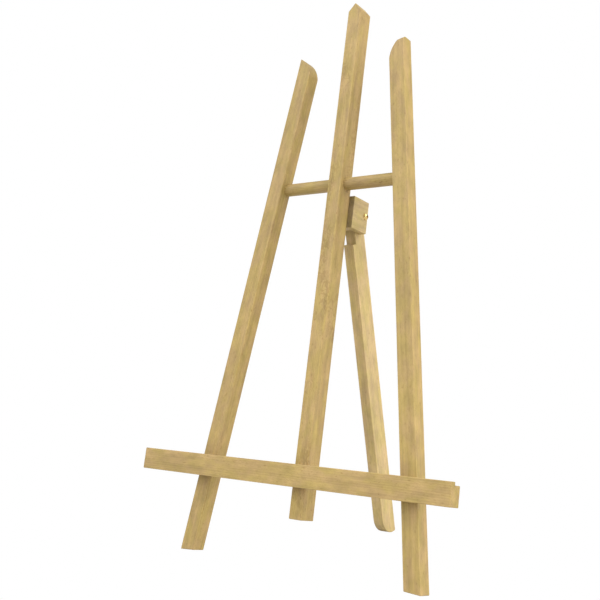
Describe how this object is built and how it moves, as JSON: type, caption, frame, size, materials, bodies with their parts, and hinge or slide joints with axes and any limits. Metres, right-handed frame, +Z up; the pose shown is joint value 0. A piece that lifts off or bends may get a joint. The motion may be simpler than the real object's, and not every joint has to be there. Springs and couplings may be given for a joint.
{
  "type": "table easel",
  "caption": "Wooden tripod display easel: splayed side legs, pointed centre post, dowel crossbar, lipped ledge and a folding rear leg in a forked hinge block.",
  "frame": {"origin": "on the floor, on the easel's centre plane, halfway between where the side feet and the rear foot touch", "axes": "+Z up, +Y from the front of the easel to its back, +X to the right of someone facing its front"},
  "size_m": [0.43, 0.2067, 0.657],
  "materials": {
    "beech": "planed and sanded beech, satin",
    "pale_beech": "paler planed and sanded beech, satin",
    "dowel_beech": "turned beech dowel, satin",
    "brass": "bright polished brass",
    "zinc_steel": "zinc-plated steel, satin"
  },
  "bodies": {
    "frame": {"left_leg": "beech", "right_leg": "beech", "centre_post": "beech", "crossbar_dowel": "dowel_beech", "ledge_bar": "beech", "hinge_block": "pale_beech", "ledge_screws": "zinc_steel", "hinge_block_screws": "zinc_steel", "pivot_screw": "brass"},
    "rear_leg": {"rear_leg": "pale_beech"}
  },
  "joints": [
    {"name": "rear_leg_fold", "type": "hinge", "parent": "frame", "child": "rear_leg", "pos_m": [0, 0.04152, 0.39374], "axis": [-1, 0, 0], "range_deg": [0, 22.7]}
  ]
}
